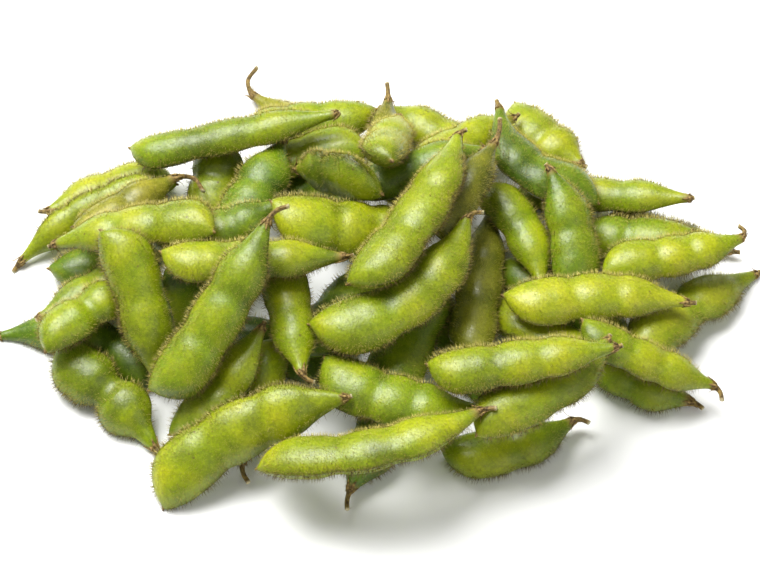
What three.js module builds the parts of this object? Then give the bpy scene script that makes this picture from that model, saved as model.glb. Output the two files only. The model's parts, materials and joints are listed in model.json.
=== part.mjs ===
// A heap of fresh edamame: sixty green soybean pods lying loose on each other on a flat surface.
// Each pod grew as one piece, so it is one closed solid: stub of stalk, neck, bean bulges and pointed tip.
// Units are millimetres, +Z is up, and the origin is the middle of the heap's footprint on the surface.
import * as THREE from 'three';

// ---- driving dimensions -----------------------------------------------------------------------------
// The pod
const POD_THICKNESS = 10;      // through a bean, for a pod of the usual width
const USUAL_WIDTH = 16.5;      // across the flat of a pod, from suture to suture
const STALK_RADIUS = 0.7;      // of the dry stub of stalk
const CALYX_RADIUS = 1.25;     // of the dry collar where the pod joins its stalk
const CALYX_PLACE = -0.9;      // of the collar along the pod, just behind the neck
const NECK_SHARE = 0.15;       // neck width as a share of the full width
const THICK_NECK = 0.85;       // a power under 1, so that the neck is thicker for its width than the body
const SHOULDER = 0.31;         // where along the pod its neck has widened into the body, at the least
const SHOULDER_RANGE = 0.1;    // and how much later than that in the most tapered pod
const SLIM_SHARE = 0.9;        // width of the body just past the shoulder, as a share of the full width
const BEAK_LENGTH = 0.7;       // length of the pod past its last bean, as a share of the width
const POINT = 1;               // how far the dry point stands out of the beak
const BEAK_OFFSET = 0.33;      // how far the beak lies off the middle line, as a share of the width
const WIDTH_SWELL = 0.055;     // how much a bean widens the pod
const THICKNESS_SWELL = 0.06;  // how much a bean thickens the pod
const LEVEL_BACK = 2.5;        // the higher this power, the more level a bean's back
const LEAST_PLUMP = 0.95;      // thinnest pod, as a share of the thickness above
const PLUMP_RANGE = 0.1;       // and how much thicker the plumpest is
const USUAL_CURL = 15;         // degrees that a stub bends where its row gives no curl
const MOST_TWIST = 7;          // degrees that either end may be turned against the middle

// How a pod is cut into rings
const SIDES = 10;                     // facets round a pod, an even number so that both sutures are edges
const STALK_RINGS = [1, 0.55];        // along the stub of stalk, from its end
const STUB_POINT = 0.2;               // how far its end is drawn out, as a share of the gap between them
const NECK_RING = 0.05;               // along the pod
const FIRST_BEAN = 0.13;              // where the first bean's chamber begins along the pod
const BEAN_RINGS = [0, 0.3, 0.7];     // along each chamber: its waist, and the two ends of its level back
const BEAK_RINGS = [0.5, 0.8, 0.95];  // along the beak

// The onlooker whose view the heap is laid out in
const EYE_DISTANCE = 900;      // from the heap's middle
const EYE_ELEVATION = 55;      // degrees above the surface
const LEAST_VIEW = 0.6;        // a bow seen edge on isn't stretched by more than one over this

// How the pods settle on each other
const CELL = 0.5;              // grid step of the height field that pods are laid on
const FIELD_HALF = 170;        // the height field reaches this far each way
const CLEARANCE = 0.3;         // between a pod and what it rests on
const SEAT = 0.6;              // how much of a pod's underside is flattened where it lies on the surface
const TOUCH = 0.02;            // a lack of height smaller than this counts as clear
const LEAST_AREA = 1e-9;       // a face that covers less than this from above or below is passed over
const CLIMB_SHARE = 0.6;       // a blocked pod is lifted by this share of what it lacks
const LEAST_CLIMB = 0.15;
const MOST_CLIMB = 3;
const HIGHEST = 70;            // no pod is sought above this
const SHORTEST = 42;           // the usual lengths of a pod, which the settling keeps to where it can
const LONGEST = 74;
const MOST_ROLL = 40;          // degrees that a pod may turn about its own length as it settles
const MOST_RISE = 34;          // how far one end of a pod may come to lie above the other
const LENGTH_COST = 0.6;       // height that is worth a millimetre outside the usual lengths
const ROLL_COST = 0.05;        // height that is worth a degree of turn
const RISE_COST = 0.12;        // height that is worth a millimetre of tilt
const SLIP_COST = 1.4;         // height that is worth a millimetre of slip
const BLOCKED_COST = 50;       // height that outweighs any clear place
const COARSE_RISES = [-28, -21, -14, -7, 0, 7, 14, 21, 28];
const COARSE_ROLLS = [-30, -15, 0, 15, 30];
const FIRST_STEP = 3;          // the finer search starts with steps of this many millimetres
const STEP_CUT = 1.6;          // and divides them by this each time
const LAST_STEP = 0.5;         // until they are smaller than this
const ROLL_PER_STEP = 3;       // degrees of turn for a millimetre of step

const SHADES = { fresh: '#8fb33a', pale: '#a9c04b', deep: '#5f8f2b', olive: '#86953b' };
const [LEFT, RIGHT] = [1, -1];

// ---- the pods, from the bottom of the heap upwards --------------------------------------------------
// Each pod is laid out as the onlooker sees it, on a plane through the heap's middle that faces the eye:
//   at       its middle, [to the right, upwards]
//   heading  from stalk to tip, degrees anticlockwise from the right
//   span     its length as seen
//   bow      how far its middle bends away to the left of the heading
// width is the pod's real width, stalk the length of its stub and curl the stub's bend in degrees.
// point tells the side of the heading that its tip lies on, and swell how many times stronger than usual
// its beans show. roll and rise hold its turn about its own length and how much higher its tip lies than
// its stalk end. Where they aren't given, the pod settles by itself.
const PODS = [
  // on the surface, round the left
  { at: [-97, -25], heading: 341, span: 52, bow: 8, width: 14, beans: 3, shade: 'deep', stalk: 2 },
  { at: [-86, 8], heading: 199, span: 42, bow: 0, width: 17, beans: 2, shade: 'deep', stalk: 3 },
  { at: [-91, -1], heading: 27, span: 41, bow: 0, width: 14, beans: 2, shade: 'fresh', stalk: 2 },
  { at: [-86, 30], heading: 16, span: 42, bow: 1, width: 15, beans: 2, shade: 'pale', stalk: 4, curl: -40 },
  { at: [-64, -2], heading: 240, span: 44, bow: 0, width: 16, beans: 2, shade: 'deep', stalk: 3 },
  { at: [-34, -20], heading: 340, span: 48, bow: 0, width: 17, beans: 2, shade: 'deep', stalk: 3 },
  // on the surface, along the front
  { at: [-40, -36], heading: 78, span: 41, bow: 0, width: 15, beans: 2, shade: 'fresh', stalk: 8, curl: 50 },
  { at: [-52, -33], heading: 234, span: 46, bow: 1, width: 17, beans: 2, shade: 'fresh', stalk: 3 },
  { at: [0, -48], heading: 62, span: 39, bow: 0, width: 17, beans: 2, shade: 'deep', stalk: 8, curl: 30 },
  { at: [27, -19], heading: 305, span: 48, bow: 0, width: 17, beans: 2, shade: 'deep', stalk: 3 },
  { at: [10, -15], heading: 247, span: 48, bow: 0, width: 18, beans: 2, shade: 'deep', stalk: 3 },
  { at: [-9, -4], heading: 226, span: 53, bow: 0, width: 16, beans: 3, shade: 'deep', stalk: 3 },
  { at: [-32, -9], heading: 101, span: 38, bow: 0, width: 14, beans: 2, shade: 'fresh', stalk: 6, curl: 70 },
  { at: [40, -50], heading: 195, span: 44, bow: 3, width: 16, beans: 2, shade: 'fresh', stalk: 6, curl: -75 },
  // on the surface, in the heap's middle
  { at: [-17, 25], heading: 325, span: 52, bow: 0, width: 17, beans: 3, shade: 'deep', stalk: 3 },
  // on the surface, round the right
  { at: [61, -6], heading: 147, span: 54, bow: 0, width: 17, beans: 3, shade: 'deep', stalk: 3 },
  { at: [82, -28], heading: 152, span: 40, bow: 2, width: 17, beans: 2, shade: 'fresh', stalk: 5, curl: -30 },
  { at: [101, -9], heading: 212, span: 46, bow: -2, width: 16, beans: 2, shade: 'pale', stalk: 3,
    swell: 2.2 },
  { at: [92, 17], heading: 164, span: 42, bow: 0, width: 11, beans: 2, shade: 'olive', stalk: 4 },
  { at: [76, 14], heading: 357, span: 50, bow: 0, width: 17, beans: 3, shade: 'fresh', stalk: 3 },
  // on the surface, along the back
  { at: [52, 48], heading: 145, span: 30, bow: 0, width: 16, beans: 2, shade: 'pale', stalk: 3 },
  { at: [-25, 50], heading: 325, span: 37, bow: 0, width: 12, beans: 2, shade: 'olive', stalk: 13,
    curl: -100 },
  { at: [-24, 51], heading: 5, span: 48, bow: 2, width: 14, beans: 3, shade: 'fresh', stalk: 3 },
  { at: [18, 48], heading: 331, span: 36, bow: 1, width: 15, beans: 2, shade: 'pale', stalk: 3 },
  { at: [27, 46], heading: 206, span: 34, bow: 0, width: 14, beans: 2, shade: 'fresh', stalk: 4 },
  { at: [2, 43], heading: 268, span: 32, bow: 0, width: 14, beans: 2, shade: 'olive', stalk: 8, curl: 10 },
  { at: [-22, 38], heading: 18, span: 41, bow: 5, width: 15, beans: 2, shade: 'fresh', stalk: 4 },
  { at: [-53, 32], heading: 262, span: 34, bow: 0, width: 17, beans: 2, shade: 'fresh', stalk: 3 },
  { at: [-40, 30], heading: 242, span: 36, bow: 0, width: 17, beans: 2, shade: 'deep', stalk: 3 },
  // second layer, left
  { at: [-90, -37], heading: 139, span: 45, bow: -3, width: 15, beans: 2, shade: 'fresh', stalk: 6, curl: 50,
    swell: 3.6 },
  { at: [-95, -9], heading: 212, span: 38, bow: 0, width: 14, beans: 2, shade: 'fresh', stalk: 3, swell: 2 },
  { at: [-92, 20], heading: 27, span: 52, bow: 4, width: 12, beans: 3, shade: 'pale', stalk: 5 },
  { at: [-82, 25], heading: 211, span: 36, bow: 0, width: 13, beans: 2, shade: 'olive', stalk: 11,
    curl: -130 },
  { at: [-54, 20], heading: 197, span: 46, bow: 3, width: 15, beans: 3, shade: 'deep', stalk: 3 },
  { at: [-78, 17], heading: 8, span: 53, bow: 2, width: 15, beans: 3, shade: 'pale', stalk: 3 },
  { at: [-42, 8], heading: 182, span: 59, bow: 0, width: 15, beans: 3, shade: 'fresh', stalk: 4 },
  // second layer, middle
  { at: [13, 37], heading: 198, span: 42, bow: -1, width: 15, beans: 2, shade: 'deep', stalk: 3 },
  { at: [-10, 20], heading: 175, span: 53, bow: 2, width: 19, beans: 3, shade: 'fresh', stalk: 3, roll: -15 },
  { at: [-14, 33], heading: 351, span: 26, bow: 0, width: 17, beans: 2, shade: 'fresh', stalk: 3, rise: 18,
    roll: 85 },
  { at: [4, 44], heading: 245, span: 15, bow: 0, width: 14, beans: 2, shade: 'fresh', stalk: 3, rise: 26 },
  // second layer, right
  { at: [54, -12], heading: 157, span: 42, bow: 4, width: 15, beans: 2, shade: 'fresh', stalk: 3 },
  { at: [32, 0], heading: 261, span: 48, bow: 0, width: 14, beans: 3, shade: 'olive', stalk: 3 },
  { at: [42, 17], heading: 121, span: 38, bow: -4, width: 14, beans: 2, shade: 'fresh', stalk: 4 },
  { at: [71, 29], heading: 178, span: 57, bow: 0, width: 13, beans: 3, shade: 'pale', stalk: 2 },
  { at: [57, 44], heading: 327, span: 44, bow: -11, width: 17, beans: 2, shade: 'deep', stalk: 5, roll: -10 },
  { at: [27, 30], heading: 238, span: 36, bow: 0, width: 13, beans: 2, shade: 'olive', stalk: 11, curl: 30 },
  { at: [93, 11], heading: 190, span: 47, bow: 2, width: 15, beans: 3, shade: 'fresh', stalk: 5, curl: 140 },
  { at: [85, -23], heading: 157, span: 47, bow: 1, width: 13, beans: 3, shade: 'fresh', stalk: 6, curl: -90 },
  { at: [59, 16], heading: 281, span: 42, bow: 3, width: 15, beans: 2, shade: 'deep', stalk: 3 },
  { at: [5, -33], heading: 165, span: 54, bow: 4, width: 18, beans: 3, shade: 'fresh', stalk: 3 },
  { at: [50, -31], heading: 209, span: 52, bow: 4, width: 17, beans: 2, shade: 'fresh', stalk: 3 },
  // top layer
  { at: [-79, -5], heading: 106, span: 52, bow: -2, width: 16, beans: 2, shade: 'fresh', stalk: 3 },
  { at: [-43, -53], heading: 208, span: 70, bow: -6, width: 18, beans: 3, shade: 'fresh', stalk: 3,
    point: LEFT },
  { at: [-4, -48], heading: 191, span: 72, bow: 5, width: 17, beans: 3, shade: 'fresh', stalk: 6, curl: -44 },
  { at: [45, -25], heading: 189, span: 61, bow: 0, width: 15, beans: 3, shade: 'fresh', stalk: 3 },
  { at: [69, -7], heading: 183, span: 58, bow: -3, width: 17, beans: 3, shade: 'pale', stalk: 4 },
  { at: [-48, 48], heading: 192, span: 68, bow: 0, width: 13, beans: 3, shade: 'fresh', stalk: 2,
    point: RIGHT },
  { at: [2, 2], heading: 216, span: 64, bow: 9, width: 19, beans: 3, shade: 'fresh', stalk: 6, curl: -90,
    roll: 0 },
  { at: [-54, -9], heading: 239, span: 67, bow: 2, width: 17, beans: 3, shade: 'fresh', stalk: 9, curl: -60,
    point: RIGHT },
  { at: [9, 23], heading: 237, span: 59, bow: 3, width: 18, beans: 3, shade: 'pale', stalk: 4, curl: -70,
    point: RIGHT, roll: 20 },
];

// ---- small helpers ----------------------------------------------------------------------------------
const radians = THREE.MathUtils.degToRad;

// A seeded stream of numbers from 0 to 1, so that the heap comes out the same every time.
function randomStream(seed) {
  let state = seed;
  return () => {
    state = (state + 0x6d2b79f5) | 0;
    let mixed = Math.imul(state ^ (state >>> 15), 1 | state);
    mixed = (mixed + Math.imul(mixed ^ (mixed >>> 7), 61 | mixed)) ^ mixed;
    return ((mixed ^ (mixed >>> 14)) >>> 0) / 2 ** 32;
  };
}

// ---- one pod ----------------------------------------------------------------------------------------
// How far a pod has widened out of its neck, and how full its body is there, with u from 0 at the neck.
function fullness(u, shoulder) {
  const widened = NECK_SHARE + (1 - NECK_SHARE) * Math.sin(Math.min(1, u / shoulder) * Math.PI / 2);
  return widened * (SLIM_SHARE + (1 - SLIM_SHARE) * Math.min(1, u));
}

// How much a bean fills its chamber, from -1 at the waist to 1 in the middle.
function filling(phase) {
  return 1 - 2 * Math.abs(2 * phase - 1) ** LEVEL_BACK;
}

// The rings of a pod, lying flat along +X with its neck at the origin, from the stalk to the beak. One suture
// runs nearly straight to the point, and the other turns round to it.
function podRings(pod, length, bow, { side, plump, shoulder }) {
  const halfWidth = pod.width / 2;
  const halfThickness = (POD_THICKNESS / 2) * Math.sqrt(pod.width / USUAL_WIDTH) * plump;
  const swell = pod.swell ?? 1;
  const bend = (x) => 4 * bow * (x / length) * (1 - x / length);
  const slope = (x) => Math.atan2(4 * bow * (1 - (2 * x) / length), length);
  const turn = radians(pod.curl ?? USUAL_CURL) / 2;
  const rings = STALK_RINGS.map((share) => {
    const angle = slope(0) + turn * share;
    const reach = CALYX_PLACE - (pod.stalk + CALYX_PLACE) * share;
    return {
      x: Math.cos(angle) * reach,
      y: Math.sin(angle) * reach,
      angle: angle + turn * share,
      width: STALK_RADIUS,
      thickness: STALK_RADIUS,
    };
  });
  const collar = { x: CALYX_PLACE, y: CALYX_PLACE * Math.tan(slope(0)), angle: slope(0) };
  rings.push({ ...collar, width: CALYX_RADIUS, thickness: CALYX_RADIUS });
  const add = (x, filled) => {
    const share = fullness(x / length, shoulder);
    rings.push({
      x,
      y: bend(x),
      angle: slope(x),
      width: halfWidth * share * (1 + WIDTH_SWELL * swell * filled),
      thickness: halfThickness * share ** THICK_NECK * (1 + THICKNESS_SWELL * swell * filled),
    });
  };
  add(NECK_RING * length, 0);
  const beakLength = BEAK_LENGTH * pod.width;
  const firstBean = FIRST_BEAN * length;
  const chambers = pod.beans - 1 + BEAN_RINGS[BEAN_RINGS.length - 1];
  const pitch = (length - POINT - beakLength - firstBean) / chambers;
  for (let bean = 0; bean < pod.beans; bean += 1) {
    BEAN_RINGS.forEach((phase) => add(firstBean + (bean + phase) * pitch, filling(phase)));
  }
  const full = rings[rings.length - 1];
  const ahead = (share) => {
    const straightSide = 1 - (1 - 2 * BEAK_OFFSET) * share ** 2;
    const roundSide = 1 - (1 + 2 * BEAK_OFFSET) * (1 - Math.sqrt(1 - share ** 2));
    const left = (straightSide + roundSide) / 2;
    const lean = side * full.width * (straightSide - roundSide) / 2;
    return {
      x: full.x + Math.cos(full.angle) * beakLength * share - Math.sin(full.angle) * lean,
      y: full.y + Math.sin(full.angle) * beakLength * share + Math.cos(full.angle) * lean,
      angle: full.angle,
      width: full.width * left,
      thickness: full.thickness * left,
    };
  };
  BEAK_RINGS.forEach((share) => rings.push(ahead(share)));
  const tip = ahead(1);
  return { rings, tip: [tip.x + Math.cos(full.angle) * POINT, tip.y + Math.sin(full.angle) * POINT] };
}

// The closed surface through the rings, with a point at each end.
function podSurface(pod, length, bow, seed) {
  const draw = randomStream(seed);
  const plump = LEAST_PLUMP + PLUMP_RANGE * draw();
  const twist = radians(2 * MOST_TWIST * (2 * draw() - 1));
  const side = pod.point ?? (draw() < 0.5 ? LEFT : RIGHT);
  const shoulder = SHOULDER + SHOULDER_RANGE * draw();
  const { rings, tip } = podRings(pod, length, bow, { side, plump, shoulder });
  const points = [];
  rings.forEach((ring) => {
    const lean = twist * (ring.x / length - 0.5);
    for (let corner = 0; corner < SIDES; corner += 1) {
      const angle = (2 * Math.PI * corner) / SIDES;
      const across = ring.width * Math.cos(angle);
      const rise = ring.thickness * Math.sin(angle);
      const out = across * Math.cos(lean) - rise * Math.sin(lean);
      const up = across * Math.sin(lean) + rise * Math.cos(lean);
      const [x, y] = [ring.x - Math.sin(ring.angle) * out, ring.y + Math.cos(ring.angle) * out];
      points.push(new THREE.Vector3(x, y, up));
    }
  });
  const [first, second] = rings;
  const past = (near, far) => near + (near - far) * STUB_POINT;
  points.push(new THREE.Vector3(past(first.x, second.x), past(first.y, second.y), 0));
  points.push(new THREE.Vector3(...tip, 0));
  const faces = [];
  for (let ring = 0; ring < rings.length - 1; ring += 1) {
    for (let corner = 0; corner < SIDES; corner += 1) {
      const here = ring * SIDES + corner;
      const next = ring * SIDES + ((corner + 1) % SIDES);
      faces.push([here, next, next + SIDES], [here, next + SIDES, here + SIDES]);
    }
  }
  const lastStart = (rings.length - 1) * SIDES;
  for (let corner = 0; corner < SIDES; corner += 1) {
    const next = (corner + 1) % SIDES;
    faces.push([next, corner, points.length - 2]);
    faces.push([lastStart + corner, lastStart + next, points.length - 1]);
  }
  return { points, faces };
}

// ---- the onlooker -----------------------------------------------------------------------------------
const elevation = radians(EYE_ELEVATION);
const eye = new THREE.Vector3(0, -Math.cos(elevation), Math.sin(elevation)).multiplyScalar(EYE_DISTANCE);
const planeUp = new THREE.Vector3(0, Math.sin(elevation), Math.cos(elevation));
const planeRight = new THREE.Vector3(1, 0, 0);

// The point at a height that the onlooker sees at a place on the facing plane.
function underSight([right, up], height) {
  const seen = planeRight.clone().multiplyScalar(right).addScaledVector(planeUp, up);
  const sight = seen.sub(eye);
  return eye.clone().addScaledVector(sight, (height - eye.z) / sight.z);
}

// The pod's points in the heap, for the heights of its two ends and its turn about its own length.
function podInPlace(pod, seed, pose) {
  const heading = radians(pod.heading);
  const reach = [Math.cos(heading) * pod.span / 2, Math.sin(heading) * pod.span / 2];
  const at = [pod.at[0] + pose.slip[0], pod.at[1] + pose.slip[1]];
  const stalkEnd = underSight([at[0] - reach[0], at[1] - reach[1]], pose.middle - pose.rise / 2);
  const tipEnd = underSight([at[0] + reach[0], at[1] + reach[1]], pose.middle + pose.rise / 2);
  const along = tipEnd.clone().sub(stalkEnd);
  const length = along.length();
  along.normalize();
  const level = new THREE.Vector3(0, 0, 1).cross(along).normalize();
  const face = along.clone().cross(level);
  const turn = radians(pose.roll);
  const side = level.clone().multiplyScalar(Math.cos(turn)).addScaledVector(face, Math.sin(turn));
  const up = along.clone().cross(side);
  const seenLeft = planeRight.clone().multiplyScalar(-Math.sin(heading));
  seenLeft.addScaledVector(planeUp, Math.cos(heading));
  const bow = pod.bow / Math.max(LEAST_VIEW, side.dot(seenLeft));
  const surface = podSurface(pod, length, bow, seed);
  const place = new THREE.Matrix4().makeBasis(along, side, up).setPosition(stalkEnd);
  surface.points.forEach((point) => point.applyMatrix4(place));
  return { ...surface, length };
}

// ---- settling ---------------------------------------------------------------------------------------
const CELLS = Math.round((2 * FIELD_HALF) / CELL);
const field = new Float32Array(CELLS * CELLS).fill(-SEAT);

// Calls visit(cell, height) for each grid cell under the faces that point up (facing 1) or down (facing -1).
function eachCell({ points, faces }, facing, visit) {
  for (const [a, b, c] of faces) {
    const p = points[a];
    const q = points[b];
    const r = points[c];
    const area = (q.x - p.x) * (r.y - p.y) - (r.x - p.x) * (q.y - p.y);
    if (area * facing <= LEAST_AREA) {
      continue;
    }
    const columns = cellRange(p.x, q.x, r.x);
    const rows = cellRange(p.y, q.y, r.y);
    for (let row = rows[0]; row <= rows[1]; row += 1) {
      const y = row * CELL - FIELD_HALF;
      for (let column = columns[0]; column <= columns[1]; column += 1) {
        const x = column * CELL - FIELD_HALF;
        const second = ((x - p.x) * (r.y - p.y) - (r.x - p.x) * (y - p.y)) / area;
        const third = ((q.x - p.x) * (y - p.y) - (x - p.x) * (q.y - p.y)) / area;
        if (second >= 0 && third >= 0 && second + third <= 1) {
          visit(row * CELLS + column, p.z + second * (q.z - p.z) + third * (r.z - p.z));
        }
      }
    }
  }
}

function cellRange(a, b, c) {
  const low = Math.ceil((Math.min(a, b, c) + FIELD_HALF) / CELL);
  const high = Math.floor((Math.max(a, b, c) + FIELD_HALF) / CELL);
  return [low, high];
}

// How far the pod has to rise to clear everything below it. It is negative where the pod hovers.
function shortfall(solid) {
  let most = -Infinity;
  eachCell(solid, -1, (cell, height) => {
    const gap = field[cell] > -SEAT ? CLEARANCE : 0;
    most = Math.max(most, field[cell] + gap - height);
  });
  return most;
}

// The lowest clear place of a pod at a given tilt, turn and slip, sought upwards from the surface.
function rest(pod, seed, rise, roll, slip) {
  const pose = { middle: 0, rise, roll, slip };
  let solid = podInPlace(pod, seed, pose);
  pose.middle = -SEAT - Math.min(...solid.points.map((point) => point.z));
  solid = podInPlace(pod, seed, pose);
  let lack = shortfall(solid);
  while (lack > TOUCH && pose.middle < HIGHEST) {
    pose.middle += THREE.MathUtils.clamp(lack * CLIMB_SHARE, LEAST_CLIMB, MOST_CLIMB);
    solid = podInPlace(pod, seed, pose);
    lack = shortfall(solid);
  }
  return { pose, solid, clear: lack <= TOUCH };
}

// What a pose costs: its height, its stray from a pod's usual lengths, its turn, its tilt and its slip.
function cost({ pose, solid, clear }) {
  const stray = Math.max(0, SHORTEST - solid.length) + Math.max(0, solid.length - LONGEST);
  const turned = ROLL_COST * Math.abs(pose.roll) + RISE_COST * Math.abs(pose.rise);
  const moved = SLIP_COST * Math.hypot(...pose.slip);
  return pose.middle + LENGTH_COST * stray + turned + moved + (clear ? 0 : BLOCKED_COST);
}

// Tries tilts, turns and slips in ever finer steps, and keeps the pose that costs least.
function settle(pod, seed) {
  let best = null;
  const attempt = (rise, roll, slip) => {
    const turn = THREE.MathUtils.clamp(roll, -MOST_ROLL, MOST_ROLL);
    const tilt = THREE.MathUtils.clamp(rise, -MOST_RISE, MOST_RISE);
    const trial = rest(pod, seed, pod.rise ?? tilt, pod.roll ?? turn, slip);
    if (best === null || cost(trial) < cost(best)) {
      best = trial;
    }
  };
  COARSE_RISES.forEach((rise) => COARSE_ROLLS.forEach((roll) => attempt(rise, roll, [0, 0])));
  for (let step = FIRST_STEP; step > LAST_STEP; step /= STEP_CUT) {
    for (let pass = 0; pass < 2; pass += 1) {
      const { rise, roll, slip } = best.pose;
      for (const [tip, spin] of [[1, 0], [-1, 0], [0, 1], [0, -1], [1, 1], [-1, -1], [1, -1], [-1, 1]]) {
        attempt(rise + tip * step, roll + spin * ROLL_PER_STEP * step, slip);
      }
      for (const [right, up] of [[1, 0], [-1, 0], [0, 1], [0, -1]]) {
        attempt(best.pose.rise, best.pose.roll, [slip[0] + right * step, slip[1] + up * step]);
      }
    }
  }
  return best;
}

// Adds a settled pod to the height field, one cell wider all round than it is.
function layDown(solid) {
  eachCell(solid, 1, (cell, height) => {
    for (const row of [-CELLS, 0, CELLS]) {
      for (const column of [-1, 0, 1]) {
        field[cell + row + column] = Math.max(field[cell + row + column], height);
      }
    }
  });
}

// ---- the heap ---------------------------------------------------------------------------------------
function meshFrom(solid, pod, name) {
  const positions = [];
  for (const face of solid.faces) {
    for (const index of face) {
      positions.push(...solid.points[index].toArray());
    }
  }
  const geometry = new THREE.BufferGeometry();
  geometry.setAttribute('position', new THREE.Float32BufferAttribute(positions, 3));
  geometry.computeVertexNormals();
  const skin = new THREE.MeshStandardMaterial({ color: SHADES[pod.shade], roughness: 0.55, metalness: 0 });
  const mesh = new THREE.Mesh(geometry, skin);
  mesh.name = name;
  return mesh;
}

const FIRST_SEED = 101;
const heap = new THREE.Group();
PODS.forEach((pod, index) => {
  const { solid } = settle(pod, FIRST_SEED + index);
  solid.points.forEach((point) => {
    point.z = Math.max(0, point.z);
  });
  layDown(solid);
  heap.add(meshFrom(solid, pod, `pod_${String(index + 1).padStart(2, '0')}`));
});

const box = new THREE.Box3().setFromObject(heap);
const middle = box.getCenter(new THREE.Vector3());
heap.position.set(-middle.x, -middle.y, -box.min.z);

export default heap;
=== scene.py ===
"""Dresses a heap of fresh edamame pods with hairy skins, withered calyxes and stubs of stalk.

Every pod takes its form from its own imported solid. The solid is a row of rings round the pod, and the fine
skin is a smooth surface through those rings. The floor, the lights and the camera follow. Lengths are in
metres, and +Z is up.
"""
import json
import logging
import math
from collections import defaultdict
from dataclasses import dataclass, field
from enum import Enum

import bpy
import numpy as np
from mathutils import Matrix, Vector, noise
from mathutils.bvhtree import BVHTree


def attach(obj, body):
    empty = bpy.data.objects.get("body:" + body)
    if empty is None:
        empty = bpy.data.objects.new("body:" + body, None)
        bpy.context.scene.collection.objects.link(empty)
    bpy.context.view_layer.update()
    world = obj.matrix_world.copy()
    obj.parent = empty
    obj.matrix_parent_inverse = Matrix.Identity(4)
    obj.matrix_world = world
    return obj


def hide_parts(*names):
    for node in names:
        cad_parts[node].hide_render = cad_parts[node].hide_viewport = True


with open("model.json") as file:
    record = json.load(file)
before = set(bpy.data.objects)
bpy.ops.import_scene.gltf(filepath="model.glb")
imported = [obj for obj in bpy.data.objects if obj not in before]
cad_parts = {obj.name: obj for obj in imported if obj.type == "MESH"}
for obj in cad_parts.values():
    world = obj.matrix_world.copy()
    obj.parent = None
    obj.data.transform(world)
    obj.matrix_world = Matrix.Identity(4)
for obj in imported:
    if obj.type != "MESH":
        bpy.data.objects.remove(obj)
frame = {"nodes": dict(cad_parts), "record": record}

log = logging.getLogger("edamame")
Array = np.ndarray
Tree = bpy.types.NodeTree
Socket = bpy.types.NodeSocket
Marks = dict[str, Array]    # a name to one number per point, which a finish reads
MM = 0.001
RING_SIDES = 10                  # points round each ring of a packed pod
COLLAR, NECK = 2, 3              # the rings of the collar and of the neck, counted from the stalk's end
BEAK_RINGS = (0.5, 0.8, 0.95)    # how far along the beak its rings lie
POINT = 1.0 * MM                 # how far the dry point stands out of the beak
FLOOR_GAP = 0.02 * MM            # hairs and teeth stay this far above the floor
TONE_SEED = 7                    # of the draw that gives each pod its tone
POD_SEED = 1000                  # of a pod's own draws, with the pod's number added


# ---- colour and node helpers ----
def linear(code: str) -> tuple[float, float, float, float]:
    """Turns an sRGB hex code into the linear colour that the shaders use.

    Args:
        code: the colour as "#rrggbb".

    Returns:
        Red, green and blue from 0 to 1, and a full alpha.
    """
    channels = [int(code[place:place + 2], 16) / 255 for place in (1, 3, 5)]
    red, green, blue = (c / 12.92 if c <= 0.04045 else ((c + 0.055) / 1.055) ** 2.4 for c in channels)
    return (red, green, blue, 1.0)


def per_mm(size: float) -> float:
    """Gives the texture scale at which one pattern cell is size millimetres wide."""
    return 1 / (size * MM)


def add_node(tree: Tree, kind: str, inputs: dict | None = None, **settings: object) -> bpy.types.Node:
    """Adds one shader node with its settings, its constant values and its incoming links.

    Args:
        tree: the material's node tree.
        kind: the node's type name, without the "ShaderNode" that they all start with.
        inputs: socket name or number to a constant value, or to the output socket that feeds it.
        **settings: the node's own properties.

    Returns:
        The new node.
    """
    node = tree.nodes.new("ShaderNode" + kind)
    for name, value in settings.items():
        setattr(node, name, value)
    for socket, given in (inputs or {}).items():
        if isinstance(given, Socket):
            tree.links.new(given, node.inputs[socket])
        else:
            node.inputs[socket].default_value = given
    return node


def new_material(name: str) -> tuple[bpy.types.Material, Tree]:
    """Makes an empty node material.

    Args:
        name: the material's name.

    Returns:
        The material and its node tree.
    """
    material = bpy.data.materials.new(name)
    material.use_nodes = True
    material.node_tree.nodes.clear()
    return material, material.node_tree


@dataclass(frozen=True)
class Pattern:
    """Soft blotches of one size, plain or brought to a range of strengths."""

    size: float             # in mm
    detail: float = 2.0
    edges: float = 0.5      # how rough the blotches' edges are
    band: tuple[float, float] | None = None        # the part of the plain pattern that is spread out
    strength: tuple[float, float] = (0.0, 1.0)     # and what it is spread out to

    def build(self, tree: Tree, place: Socket) -> Socket:
        """Adds the pattern to a material.

        Args:
            tree: the material's node tree.
            place: the point on the piece.

        Returns:
            The socket of the pattern's strength.
        """
        blotches = add_node(tree, "TexNoise", {
            "Scale": per_mm(self.size), "Detail": self.detail, "Roughness": self.edges, "Vector": place})
        if self.band is None:
            return blotches.outputs["Fac"]
        spread = add_node(tree, "MapRange", {
            "Value": blotches.outputs["Fac"], "From Min": self.band[0], "From Max": self.band[1],
            "To Min": self.strength[0], "To Max": self.strength[1]})
        return spread.outputs[0]


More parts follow.
